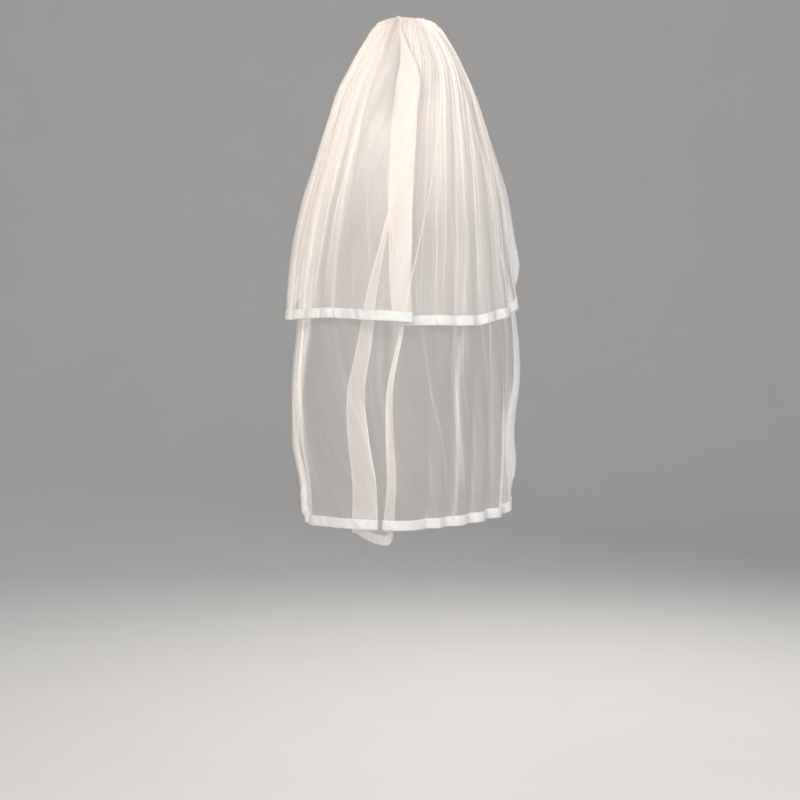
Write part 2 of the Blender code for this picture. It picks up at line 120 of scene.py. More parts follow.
SHORT_FOLDS = (
    Fold(0.020, 0.000, 0.024, 0.024, 0.003, 0.008, 0.000, 0.000),
    Fold(0.070, 0.060, 0.026, 0.026, 0.004, 0.011, 0.000, 0.008),
    Fold(0.130, 0.120, 0.028, 0.028, 0.005, 0.013, 0.000, -0.008),
    Fold(0.190, 0.185, 0.028, 0.028, 0.005, 0.012, 0.008, 0.012),
    Fold(0.245, 0.250, 0.028, 0.028, 0.005, 0.014, 0.000, -0.012),
    Fold(0.295, 0.312, 0.026, 0.026, 0.005, 0.012, 0.010, 0.010),
    Fold(0.340, 0.370, 0.024, 0.024, 0.006, 0.014, 0.008, 0.014),
    Fold(0.372, 0.440, 0.022, 0.020, 0.006, 0.013, 0.006, 0.018),
    Fold(0.400, 0.500, 0.060, 0.048, 0.014, 0.044, 0.155, 0.085),
    Fold(0.690, 0.668, 0.028, 0.028, 0.005, 0.012, 0.000, -0.010),
    Fold(0.745, 0.728, 0.028, 0.028, 0.005, 0.015, 0.008, 0.012),
    Fold(0.800, 0.790, 0.030, 0.030, 0.005, 0.013, -0.008, -0.012),
    Fold(0.855, 0.852, 0.028, 0.028, 0.005, 0.014, 0.000, 0.010),
    Fold(0.908, 0.912, 0.026, 0.026, 0.004, 0.011, 0.000, 0.006),
    Fold(1.000, 1.000, 0.042, 0.042, 0.007, 0.018, 0.000, 0.000),
)
TIP_ROUNDING = 0.30

# How far the hem hangs below its plain line, across the cloth.
Sag = namedtuple("Sag", "share drop")
LONG_SAG = (
    Sag(0.000, -0.012),
    Sag(0.120, -0.010),
    Sag(0.300, -0.014),
    Sag(0.345, -0.004),
    Sag(0.430, 0.020),
    Sag(0.465, 0.020),
    Sag(0.490, -0.004),
    Sag(0.560, -0.014),
    Sag(0.650, -0.018),
    Sag(0.780, -0.026),
    Sag(0.900, -0.034),
    Sag(1.000, -0.040),
)
SHORT_SAG = (
    Sag(0.000, 0.006),
    Sag(0.200, 0.000),
    Sag(0.460, -0.002),
    Sag(0.510, 0.006),
    Sag(0.560, 0.008),
    Sag(0.640, 0.008),
    Sag(0.780, 0.008),
    Sag(0.860, -0.008),
    Sag(1.000, -0.034),
)

# Small gathers by the comb, which fade out down the head, and where the comb's bow, the folds'
# lean and the hem's sag begin or end. The sag begins at a share of the cloth's length.
GATHER_COUNT = 22
GATHER_RISE = 0.0015
GATHER_START = 0.030
GATHER_FULL = 0.080
GATHER_END = 0.300
BOW_END = 0.150
LEAN_END = 0.220
SAG_START = 0.45

# A wave over the cloth: its size, how many cross the cloth's width, how many pass down a metre,
# and its start.
Wave = namedtuple("Wave", "size across down start")

# Fine pleats from the sewing at the comb, unevenly spaced and unevenly high, and soft creases
# down the whole cloth.
PLEAT_COUNT = 61
PLEAT_RISE = 0.0036
PLEAT_START = 0.010
PLEAT_FULL = 0.060
PLEAT_END = 0.520
PLEAT_LEFT = 0.22
PLEAT_DRIFT = 1.5
PLEAT_USUAL_HEIGHT = 0.72
PLEAT_SPACING = (Wave(0.9, 3.0, 0.0, 0.7), Wave(0.6, 8.0, 0.0, 0.0))
PLEAT_HEIGHTS = (Wave(0.30, 11.0, 0.4775, 0.0), Wave(0.24, 4.3, 0.0, 1.0))
CREASES = (
    Wave(0.0008, 17.0, 2.1, 0.3),
    Wave(0.0006, 29.0, -3.3, 1.9),
    Wave(0.0004, 43.0, 5.2, 4.1),
    Wave(0.0006, 7.0, 9.0, 2.6),
)

# Thin pressed lines down the cloth: where each one lies, its ends, its height and half its width.
Line = namedtuple("Line", "share start end rise flank")
SHORT_LINES = (
    Line(0.095, 0.10, 0.70, 0.0012, 0.0034),
    Line(0.157, 0.04, 0.55, 0.0010, 0.0030),
    Line(0.214, 0.06, 0.72, 0.0016, 0.0036),
    Line(0.232, 0.20, 0.72, 0.0008, 0.0028),
    Line(0.283, 0.03, 0.60, 0.0014, 0.0034),
    Line(0.318, 0.15, 0.72, 0.0012, 0.0030),
    Line(0.355, 0.05, 0.72, 0.0014, 0.0034),
    Line(0.505, 0.04, 0.66, 0.0012, 0.0030),
    Line(0.532, 0.10, 0.72, 0.0008, 0.0026),
    Line(0.571, 0.03, 0.50, 0.0012, 0.0030),
    Line(0.612, 0.08, 0.72, 0.0010, 0.0028),
    Line(0.648, 0.03, 0.72, 0.0018, 0.0034),
    Line(0.676, 0.12, 0.72, 0.0014, 0.0028),
    Line(0.722, 0.05, 0.60, 0.0010, 0.0028),
    Line(0.773, 0.16, 0.72, 0.0014, 0.0034),
    Line(0.826, 0.04, 0.64, 0.0010, 0.0030),
    Line(0.880, 0.10, 0.72, 0.0014, 0.0032),
    Line(0.952, 0.06, 0.60, 0.0008, 0.0030),
)
LONG_LINES = (
    Line(0.045, 0.10, 1.17, 0.0010, 0.0032),
    Line(0.112, 0.20, 1.17, 0.0010, 0.0032),
    Line(0.163, 0.10, 0.90, 0.0008, 0.0030),
    Line(0.225, 0.30, 1.17, 0.0012, 0.0034),
    Line(0.402, 0.10, 0.70, 0.0010, 0.0030),
    Line(0.633, 0.20, 1.17, 0.0010, 0.0030),
    Line(0.702, 0.10, 1.17, 0.0012, 0.0032),
    Line(0.728, 0.50, 1.17, 0.0006, 0.0028),
    Line(0.787, 0.30, 1.10, 0.0012, 0.0032),
    Line(0.853, 0.20, 1.17, 0.0010, 0.0032),
    Line(0.925, 0.40, 1.17, 0.0008, 0.0030),
)
LINE_FADE = 0.16
LINE_WANDER = 0.0015
LINE_WANDER_DOWN = 21.0
LINE_WANDER_START = 90.0

# Slits by the crown where the gathered cloth opens: the place of each, its drift a metre down,
# half its width, and its ends.
Slit = namedtuple("Slit", "place drift width start end")
SHORT_SLITS = (
    Slit(0.374, 0.13, 0.034, 0.02, 0.33),
    Slit(0.488, -0.02, 0.026, 0.10, 0.36),
    Slit(0.648, -0.06, 0.036, 0.03, 0.27),
)
LONG_SLITS = (
    Slit(0.466, 0.0, 0.050, 0.02, 0.36),
    Slit(0.592, 0.0, 0.044, 0.03, 0.29),
)
SLIT_FADE = 0.05

# How far the side edges swing towards the middle, down the cloth.
Swing = namedtuple("Swing", "drop left right")
SWINGS = (
    Swing(0.000, 0.000, 0.000),
    Swing(0.200, 0.000, 0.002),
    Swing(0.310, 0.001, 0.006),
    Swing(0.450, 0.002, 0.009),
    Swing(0.560, 0.004, 0.012),
    Swing(0.650, 0.004, 0.003),
    Swing(0.720, 0.002, 0.000),
    Swing(0.800, -0.003, 0.000),
    Swing(0.880, -0.002, 0.004),
    Swing(0.950, -0.002, 0.014),
    Swing(1.010, -0.003, 0.016),
    Swing(1.070, 0.005, 0.008),
    Swing(1.120, 0.006, -0.002),
    Swing(1.180, 0.000, -0.008),
)
SWING_SHARE = 0.16

# The two tiers. The long tier's folds open late and stay low until the cloth is clear of the
# short tier. A tier's side is the way in which its pleats stand out, and its cover is the share
# of light that one flat layer of its net stops.
Tier = namedtuple(
    "Tier", "name length flat_width stand_off folds lines sag opened grows_from grown side cover slits"
)
LONG_TIER = Tier(
    name="long",
    length=LONG_LENGTH,
    flat_width=LONG_FLAT_WIDTH,
    stand_off=(),
    folds=LONG_FOLDS,
    lines=LONG_LINES,
    sag=LONG_SAG,
    opened=0.550,
    grows_from=0.700,
    grown=1.040,
    side=-1.0,
    cover=0.16,
    slits=LONG_SLITS,
)
SHORT_TIER = Tier(
    name="short",
    length=SHORT_LENGTH,
    flat_width=SHORT_FLAT_WIDTH,
    stand_off=SHORT_STAND_OFF,
    folds=SHORT_FOLDS,
    lines=SHORT_LINES,
    sag=SHORT_SAG,
    opened=0.120,
    grows_from=0.0,
    grown=0.700,
    side=1.0,
    cover=0.20,
    slits=SHORT_SLITS,
)

# Fineness of the meshes. The folds are measured at many places near the hem, to set the columns
# close where the cloth turns most.
COLUMNS = 520
CORNER_COLUMNS = 12
MEASURED_PLACES = 4001
MEASURED_DOWN = 0.95
SHARE_DIGITS = 5
ROW_STEP = 0.0075
SIDE_STEP = 0.0045
HEM_START = 0.001
RIBBON_ACROSS = 8
RIBBON_CORNER_STEPS = 36
SMALL = 1e-4
TINY = 1e-12

# The ribbon, its crinkles and its stitches. Sharp puckers come in patches over soft waves, and
# each has a length that another, longer wave makes uneven.
RIBBON_LIFT = 0.0005
RIBBON_WALL = 0.0005
CRINKLE = 0.0022
PUCKER = 0.0125
PUCKER_DRIFT = 0.041
SOFT_WAVE = 0.0213
SOFT_WAVE_DRIFT = 0.067
PATCH = 0.053
PUCKER_PART = 0.65
EDGE_CRINKLE = 0.40
STITCH_PITCH = 0.0036
STITCH_LENGTH = 0.0024
STITCH_THICKNESS = 0.00042
STITCH_ROWS = (0.07, 0.93)
STITCH_SHOULDER = 0.6
STITCH_LIFT = 0.3

# Loops of thread round the comb's bar: half of each one's depth and height, and its middle.
THREAD_LOOP = (0.0068, 0.0034)
THREAD_LOOP_MIDDLE = (-0.0022, 0.0006)
THREAD_RADIUS = 0.00035
THREAD_STEPS = 18
THREAD_SIDES = 6

# How dense the net looks: the most that a slanting layer counts for, the most layers in the
# gathers, and the layers that a pressed line adds for a metre of its height.
MOST_SLANT = 3.0
MOST_LAYERS = 14.0
LINE_LAYERS = 700.0

# How many more layers of cloth the gathers hold at the crown, and where they have fallen open.
CROWN_LAYERS = 11.0
CROWN_FULL = 0.040
CROWN_END = 0.560

# Studio, in metres and watts
FLOOR_HEIGHT = -2.00
FLOOR_REACH = 7.0
SWEEP_RADIUS = 2.5
SWEEP_STEPS = 16
WALL_TOP = 6.0
SURROUND = (0.40, 0.40, 0.403, 1.0)
CAMERA_PLACE = (-0.0132, -4.0, -0.5)
CAMERA_TARGET = (-0.0132, 0.0, -0.8104)
CAMERA_LENS = 81.1
CAMERA_SENSOR = 36.0
VEIL_MIDDLE = (0.0, 0.0, -0.5)
VEIL_LOW = (0.0, 0.0, -0.9)
Lamp = namedtuple("Lamp", "name place target power size colour")
LAMPS = (
    Lamp("key", (-1.7, -2.6, 1.6), VEIL_MIDDLE, 80.0, 1.8, (1.0, 0.95, 0.90)),
    Lamp("fill", (2.4, -2.0, 0.2), VEIL_MIDDLE, 36.0, 2.2, (0.98, 0.98, 1.0)),
    Lamp("low", (-0.6, -3.4, -0.3), VEIL_LOW, 26.0, 1.2, (1.0, 0.99, 0.97)),
    Lamp("back", (0.9, 3.0, 1.45), VEIL_MIDDLE, 120.0, 1.8, (1.0, 0.97, 0.94)),
)


def smooth_step(value, start, end):
    """0 before start, 1 after end and a smooth rise between."""
    part = np.clip((value - start) / (end - start), 0.0, 1.0)
    return part * part * (3.0 - 2.0 * part)


def curve_through(rows, place, column, at):
    """A smooth curve through one column of a table, read at some places."""
    knots = np.array([getattr(row, place) for row in rows])
    values = np.array([getattr(row, column) for row in rows], float)
    slopes = np.gradient(values, knots)
    at = np.clip(at, knots[0], knots[-1])
    index = np.clip(np.searchsorted(knots, at, side="right") - 1, 0, len(knots) - 2)
    step = knots[index + 1] - knots[index]
    t = (at - knots[index]) / step
    start_value = (1.0 + 2.0 * t) * (1.0 - t) ** 2 * values[index]
    end_value = t * t * (3.0 - 2.0 * t) * values[index + 1]
    start_slope = t * (1.0 - t) ** 2 * step * slopes[index]
    end_slope = t * t * (t - 1.0) * step * slopes[index + 1]
    return start_value + end_value + start_slope + end_slope


def drape(share, drop):
    """A point of the bare drape over the head, shoulders and back."""
    column = {name: curve_through(SECTIONS, "drop", name, drop) for name in Section._fields[1:]}
    turn = column["left_turn"] + column["right_turn"]
    bearing = np.radians(turn * share - column["left_turn"])
    x = column["middle"] + column["half_width"] * np.sin(bearing)
    y = column["centre"] - column["depth"] * np.cos(bearing)
    bow = COMB_BOW * x * x * (1.0 - smooth_step(drop, 0.0, BOW_END))
    return np.stack([x, y, column["height"] - bow], axis=-1)


def drape_normal(share, drop):
    """The direction out of the bare drape."""
    across = drape(share + SMALL, drop) - drape(share - SMALL, drop)
    top = np.maximum(drop - SMALL, 0.0)
    down = drape(share, drop + SMALL) - drape(share, top)
    normal = np.cross(down, across)
    return normal / np.linalg.norm(normal, axis=-1, keepdims=True)


def bump(away, left, right):
    """1 at the crest of a fold, falling smoothly to 0 over its left and right flanks."""
    part = np.where(away < 0.0, away / left, away / right)
    return np.cos(math.pi / 2.0 * np.clip(part, -1.0, 1.0)) ** 2


def pressed(tier, share, drop):
    """How far a tier's pressed lines stand out of the cloth at a place."""
    total = np.zeros_like(share)
    for line in tier.lines:
        shown = smooth_step(drop, line.start, line.start + LINE_FADE)
        shown = shown * (1.0 - smooth_step(drop, line.end - LINE_FADE, line.end))
        wander = LINE_WANDER * np.sin(drop * LINE_WANDER_DOWN + line.share * LINE_WANDER_START)
        width = bump(share - line.share - wander, line.flank, line.flank)
        total = total + line.rise * shown * width
    return total


def waves(table, share, drop):
    """The sum of a table's waves at a place on the cloth."""
    total = np.zeros_like(share)
    for wave in table:
        turns = wave.across * share + wave.down * drop
        total = total + wave.size * np.sin(2.0 * math.pi * turns + wave.start)
    return total


def pleats(tier, share, drop):
    """How far the fine pleats, soft creases and pressed lines stand out of the cloth."""
    phase = 2.0 * math.pi * PLEAT_COUNT * share + waves(PLEAT_SPACING, share, drop) + PLEAT_DRIFT * drop
    height = smooth_step(drop, PLEAT_START, PLEAT_FULL)
    height = height * (1.0 - (1.0 - PLEAT_LEFT) * smooth_step(drop, GATHER_FULL, PLEAT_END))
    height = height * (PLEAT_USUAL_HEIGHT + waves(PLEAT_HEIGHTS, share, drop))
    pleated = PLEAT_RISE * height * (0.5 - 0.5 * np.cos(phase))
    highest = sum(crease.size for crease in CREASES)
    creased = smooth_step(drop, PLEAT_START, GATHER_END) * (highest + waves(CREASES, share, drop)) / 2.0
    return pleated + creased + pressed(tier, share, drop)


def tier_point(tier, share, drop):
    """A point of a tier's cloth, with its folds, gathers, pleats and the sag of its hem."""
    share = np.asarray(share, float)
    drop = np.asarray(drop, float)
    down = np.clip(drop / tier.length, 0.0, 1.0)
    opened = smooth_step(drop, 0.0, tier.opened)
    grown = smooth_step(drop, tier.grows_from, tier.grown)
    leaning = smooth_step(drop, 0.0, LEAN_END)
    shift = np.zeros_like(share)
    rise = np.zeros_like(share)
    for fold in tier.folds:
        place = fold.crown + (fold.hem - fold.crown) * down
        lean = fold.crown_lean + (fold.hem_lean - fold.crown_lean) * down
        height = fold.crown_rise + (fold.hem_rise - fold.crown_rise) * grown
        ahead = np.clip(lean, -fold.left * TIP_ROUNDING, fold.right * TIP_ROUNDING)
        left = fold.left + 2.0 * np.maximum(-ahead, 0.0)
        right = fold.right + 2.0 * np.maximum(ahead, 0.0)
        shift = shift + lean * leaning * bump(share - place, fold.left, fold.right)
        rise = rise + height * opened * bump(share - place + ahead, left, right)
    gathered = smooth_step(drop, GATHER_START, GATHER_FULL)
    gathered = gathered * (1.0 - smooth_step(drop, GATHER_FULL, GATHER_END))
    wave = 0.5 - 0.5 * np.cos(2.0 * math.pi * GATHER_COUNT * share)
    rise = rise + GATHER_RISE * gathered * wave + tier.side * pleats(tier, share, drop)
    if tier.stand_off:
        rise = rise + curve_through(tier.stand_off, "drop", "gap", drop)
    point = drape(share + shift, drop)
    point = point + drape_normal(share + shift, drop) * rise[..., None]
    sag = curve_through(tier.sag, "share", "drop", share)
    point[..., 2] -= sag * smooth_step(down, SAG_START, 1.0)
    left = 1.0 - smooth_step(share, 0.0, SWING_SHARE)
    right = smooth_step(share, 1.0 - SWING_SHARE, 1.0)
    point[..., 0] += curve_through(SWINGS, "drop", "left", drop) * left
    point[..., 0] -= curve_through(SWINGS, "drop", "right", drop) * right
    return point


def tier_normal(tier, share, drop):
    """The direction out of a tier's cloth."""
    across = tier_point(tier, share + SMALL, drop) - tier_point(tier, share - SMALL, drop)
    down = tier_point(tier, share, drop + SMALL) - tier_point(tier, share, np.maximum(drop - SMALL, 0.0))
    normal = np.cross(down, across)
    return normal / np.maximum(np.linalg.norm(normal, axis=-1, keepdims=True), TINY)


def edge_drop(tier, share):
    """How far down the cloth its rounded outline lies."""
    side = np.minimum(share, 1.0 - share) * EDGE_SPAN
    across = np.clip(CORNER_ACROSS - side, 0.0, CORNER_ACROSS) / CORNER_ACROSS
    return tier.length - CORNER_DOWN + CORNER_DOWN * np.sqrt(1.0 - across * across)


def new_piece(name, points, faces, material):
    """A smooth-shaded mesh object."""
    mesh = bpy.data.meshes.new(name)
    mesh.from_pydata([tuple(point) for point in points], [], faces)
    mesh.materials.append(material)
    mesh.shade_smooth()
    piece = bpy.data.objects.new(name, mesh)
    bpy.context.scene.collection.objects.link(piece)
    return piece


def run_along(points):
    """How far along a path each of its points lies."""
    steps = np.linalg.norm(np.diff(points, axis=0), axis=1)
    return np.concatenate([[0.0], np.cumsum(steps)])


def tier_shares(tier):
    """The shares of a tier's columns, fine in the folds and at the corners, and where each is cut."""
    even = np.linspace(0.0, 1.0, MEASURED_PLACES)
    along = run_along(tier_point(tier, even, np.full_like(even, tier.length * MEASURED_DOWN)))
    measure = (even + along / along[-1]) / 2.0
    shares = np.interp(np.linspace(0.0, 1.0, COLUMNS + 1), measure, even)
    corner = CORNER_ACROSS / EDGE_SPAN
    turns = np.linspace(0.0, math.pi / 2.0, CORNER_COLUMNS + 1)[1:-1]
    rounded = corner * (1.0 - np.cos(turns))
    shares = np.unique(np.round(np.concatenate([shares, rounded, 1.0 - rounded]), SHARE_DIGITS))
    flat = np.interp(shares, even, along / along[-1] * tier.flat_width)
    return shares, flat


def slit_depth(tier, share, drop):
    """How far the gathered layers open, 0 to 1, at the slits by the crown."""
    depth = np.zeros_like(share)
    for slit in tier.slits:
        away = share - slit.place - slit.drift * drop
        shown = smooth_step(drop, slit.start, slit.start + SLIT_FADE)
        shown = shown * (1.0 - smooth_step(drop, slit.end - 2.0 * SLIT_FADE, slit.end))
        depth = np.maximum(depth, bump(away, slit.width, slit.width) * shown)
    return depth


def make_net(tier, material):
    """A tier's tulle: one thin open sheet, with its cut as its UV map and its cover at each point."""
    shares, flat = tier_shares(tier)
    rows = int(round(tier.length / ROW_STEP))
    parts = np.linspace(0.0, 1.0, rows + 1)
    share = np.repeat(shares[:, None], rows + 1, axis=1)
    drop = parts[None, :] * edge_drop(tier, share)
    points = tier_point(tier, share, drop)
    cut = np.repeat(flat[:, None], rows + 1, axis=1)
    wide = np.linalg.norm(np.gradient(points, axis=0), axis=-1)
    gathered = np.gradient(cut, axis=0) / np.maximum(wide, TINY)
    normal = tier_normal(tier, share, drop)
    facing = np.abs(np.sum(normal * drape_normal(share, drop), axis=-1))
    slant = 1.0 / np.maximum(facing, 1.0 / MOST_SLANT)
    crowded = 1.0 + CROWN_LAYERS * (1.0 - smooth_step(drop, CROWN_FULL, CROWN_END))
    layers = np.clip(gathered, np.sqrt(crowded), MOST_LAYERS)
    layers = 1.0 + (layers - 1.0) * (1.0 - slit_depth(tier, share, drop))
    layers = layers + pressed(tier, share, drop) * LINE_LAYERS
    cover = 1.0 - (1.0 - tier.cover) ** (layers * slant)
    corner = np.arange(len(shares) * (rows + 1)).reshape(len(shares), rows + 1)
    faces = np.stack([corner[:-1, :-1], corner[:-1, 1:], corner[1:, 1:], corner[1:, :-1]], axis=-1)
    faces = faces.reshape(-1, 4)
    piece = new_piece(f"{tier.name}_tulle", points.reshape(-1, 3), faces.tolist(), material)
    mesh = piece.data
    uv = mesh.uv_layers.new(name="cut")
    places = np.stack([cut, drop], axis=-1).reshape(-1, 2)
    uv.data.foreach_set("uv", places[faces.ravel()].ravel())
    layer = mesh.attributes.new("cover", "FLOAT", "POINT")
    layer.data.foreach_set("value", cover.ravel())
    return piece


def border_path(tier):
    """The ribbon's path: the places of its outer and inner edges, as shares and drops."""
    corner_top = tier.length - CORNER_DOWN
    side = np.linspace(RIBBON_START, corner_top, int(tier.length / SIDE_STEP))
    turns = np.linspace(0.0, math.pi / 2.0, RIBBON_CORNER_STEPS + 1)[1:]
    shares, _ = tier_shares(tier)
    hem_start = CORNER_ACROSS / EDGE_SPAN + HEM_START
    hem = shares[(shares > hem_start) & (shares < 1.0 - hem_start)]
    edges = []
    for inset in (0.0, RIBBON_WIDTH):
        across = (CORNER_ACROSS - (CORNER_ACROSS - inset) * np.cos(turns)) / EDGE_SPAN
        down = corner_top + (CORNER_DOWN - inset) * np.sin(turns)
        left = np.concatenate([
            np.stack([np.full_like(side, inset / EDGE_SPAN), side], axis=-1),
            np.stack([across, down], axis=-1),
        ])
        bottom = np.stack([hem, np.full_like(hem, tier.length - inset)], axis=-1)
        right = left[::-1] * (-1.0, 1.0) + (1.0, 0.0)
        edges.append(np.concatenate([left, bottom, right]))
    return edges


def ring_faces(rings, around):
    """The faces of a closed tube of rings, with its ends filled."""
    faces = []
    for ring in range(rings - 1):
        for k in range(around):
            a, b = ring * around + k, ring * around + (k + 1) % around
            faces.append((a, a + around, b + around, b))
    faces.append(tuple(range(around)))
    faces.append(tuple(reversed(range((rings - 1) * around, rings * around))))
    return faces


def ribbon_crinkles(along, across):
    """How high the ribbon's crinkles stand, 0 to 1: sharp puckers in patches over soft waves."""
    sharp = 1.0 - np.abs(np.sin(along / PUCKER + 1.6 * np.sin(along / PUCKER_DRIFT) + 1.3 * across))
    soft = 0.5 + 0.5 * np.sin(along / SOFT_WAVE - 2.2 * across + 1.7 * np.sin(along / SOFT_WAVE_DRIFT))
    patches = 0.35 + 0.65 * (0.5 + 0.5 * np.sin(along / PATCH + 1.1)) ** 2
    crinkles = PUCKER_PART * sharp**2 * patches + (1.0 - PUCKER_PART) * soft
    return crinkles * (EDGE_CRINKLE + (1.0 - EDGE_CRINKLE) * np.sin(math.pi * across) ** 0.5)


def make_ribbon(tier, material):
    """The satin ribbon on a tier's border: a thin crinkled band."""
    outer, inner = border_path(tier)
    across = np.linspace(0.0, 1.0, RIBBON_ACROSS + 1)
    place = outer[:, None] + (inner - outer)[:, None] * across[None, :, None]
    share, drop = place[..., 0], place[..., 1]
    points = tier_point(tier, share, drop)
    normal = tier_normal(tier, share, drop)
    middle = points[:, RIBBON_ACROSS // 2]
    along = run_along(middle)[:, None]
    lift = RIBBON_LIFT + CRINKLE * ribbon_crinkles(along, across)
    low = points + normal * lift[..., None]
    high = points + normal * (lift + RIBBON_WALL)[..., None]
    rings = np.concatenate([high, low[:, ::-1]], axis=1)
    around = rings.shape[1]
    faces = ring_faces(len(rings), around)
    piece = new_piece(f"{tier.name}_ribbon_band", rings.reshape(-1, 3), faces, material)
    uv = piece.data.uv_layers.new(name="ribbon")
    width = np.concatenate([across, across[::-1]]) * RIBBON_WIDTH
    places = np.stack(np.broadcast_arrays(along, width[None]), axis=-1).reshape(-1, 2)
    corners = np.zeros(len(piece.data.loops), int)
    piece.data.loops.foreach_get("vertex_index", corners)
    uv.data.foreach_set("uv", places[corners].ravel())
    return piece


def stitch_places(tier, place):
    """The middle, length and up directions of the running stitches along one row."""
    along = run_along(tier_point(tier, place[:, 0], place[:, 1]))
    middles = np.arange(STITCH_PITCH, along[-1] - STITCH_PITCH, STITCH_PITCH)

    def at(distance):
        return np.interp(distance, along, place[:, 0]), np.interp(distance, along, place[:, 1])

    start = tier_point(tier, *at(middles - STITCH_LENGTH / 2.0))
    end = tier_point(tier, *at(middles + STITCH_LENGTH / 2.0))
    way = end - start
    way /= np.linalg.norm(way, axis=1, keepdims=True)
    side = np.cross(tier_normal(tier, *at(middles)), way)
    side /= np.linalg.norm(side, axis=1, keepdims=True)
    up = np.cross(way, side)
    middle = (start + end) / 2.0 + up * (RIBBON_LIFT + RIBBON_WALL + CRINKLE * STITCH_LIFT)
    return middle, way, side, up


def make_stitches(tier, material):
    """Two rows of running stitches that hold the ribbon on the tulle, each pointed at its ends."""
    outer, inner = border_path(tier)
    half, thick = STITCH_LENGTH / 2.0, STITCH_THICKNESS / 2.0
    points, faces = [], []
    for row in STITCH_ROWS:
        for middle, way, side, up in zip(*stitch_places(tier, outer + (inner - outer) * row)):
            base = len(points)
            points.append(middle - way * half)
            for shoulder in (-STITCH_SHOULDER, STITCH_SHOULDER):
                for a, b in ((1, 0), (0, 1), (-1, 0), (0, -1)):
                    points.append(middle + way * half * shoulder + (side * a + up * b) * thick)
            points.append(middle + way * half)
            for q in range(4):
                r = (q + 1) % 4
                faces.append((base, base + 1 + r, base + 1 + q))
                faces.append((base + 1 + q, base + 1 + r, base + 5 + r, base + 5 + q))
                faces.append((base + 9, base + 5 + q, base + 5 + r))
    return new_piece(f"{tier.name}_stitches", points, faces, material)


def make_comb_thread(material):
    """Loops of thread that sew both tiers to the comb's bar, one between each two teeth."""
    pitch = (COMB_LENGTH - TOOTH_ROOT_WIDTH) / (TOOTH_COUNT - 1)
    first = -COMB_LENGTH / 2.0 + TOOTH_ROOT_WIDTH / 2.0
    size = (THREAD_LOOP[0] + THREAD_LOOP[1]) / 2.0
    bpy.ops.object.select_all(action="DESELECT")
    bpy.ops.mesh.primitive_torus_add(
        major_radius=size,
        minor_radius=THREAD_RADIUS,
        major_segments=THREAD_STEPS,
        minor_segments=THREAD_SIDES,
    )
    loop = bpy.context.object
    stretched = Matrix.Diagonal((1.0, THREAD_LOOP[0] / size, THREAD_LOOP[1] / size, 1.0))
    upright = Matrix.Rotation(COMB_TILT, 4, "X") @ stretched @ Matrix.Rotation(math.pi / 2.0, 4, "Y")
    loops = [loop]
    for _ in range(TOOTH_COUNT - 2):
        copy = loop.copy()
        copy.data = loop.data.copy()
        bpy.context.scene.collection.objects.link(copy)
        loops.append(copy)
    for gap, copy in enumerate(loops):
        x = first + pitch * (gap + 0.5)
        place = Matrix.Translation((x, THREAD_LOOP_MIDDLE[0], THREAD_LOOP_MIDDLE[1] - COMB_BOW * x * x))
        copy.matrix_world = place @ upright
        copy.select_set(True)
    bpy.context.view_layer.objects.active = loop
    bpy.ops.object.transform_apply(location=True, rotation=True, scale=True)
    bpy.ops.object.join()
    thread = bpy.context.object
    thread.name = "comb_thread"
    bpy.ops.object.shade_smooth()
    thread.data.materials.clear()
    thread.data.materials.append(material)
    return thread


# Colours of the finishes, each from its darker tone to its lighter one. The satin's span is painted shade
# and painted light, laid along its crinkles.
TULLE_COLOURS = (0.95, 0.865, 0.80), (0.975, 0.92, 0.87)
SATIN_PAINTED_SHADE_COLOURS = (0.62, 0.615, 0.605), (0.82, 0.815, 0.805)
THREAD_COLOURS = (0.78, 0.74, 0.69), (0.92, 0.89, 0.85)
PLASTIC_COLOURS = (0.90, 0.92, 0.92), (0.96, 0.97, 0.97)
FLOOR_COLOURS = (0.61, 0.605, 0.597), (0.64, 0.635, 0.627)
OBJECT_PLACE = 3
MOST_COVER = 0.97


class Amount:
    """A number or colour in a material, on which sums are written as plain Python."""

    def __init__(self, finish, socket):
        self.finish = finish
        self.socket = socket

    def sum(self, operation, first, second):
        """A node that adds, subtracts or multiplies two amounts."""
        values = {0: first, 1: second}
        return self.finish.node("ShaderNodeMath", {"operation": operation}, values)

    def __add__(self, other):
        return self.sum("ADD", self, other)

    __radd__ = __add__

    def __rsub__(self, other):
        return self.sum("SUBTRACT", other, self)

    def __mul__(self, other):
        return self.sum("MULTIPLY", self, other)

    __rmul__ = __mul__


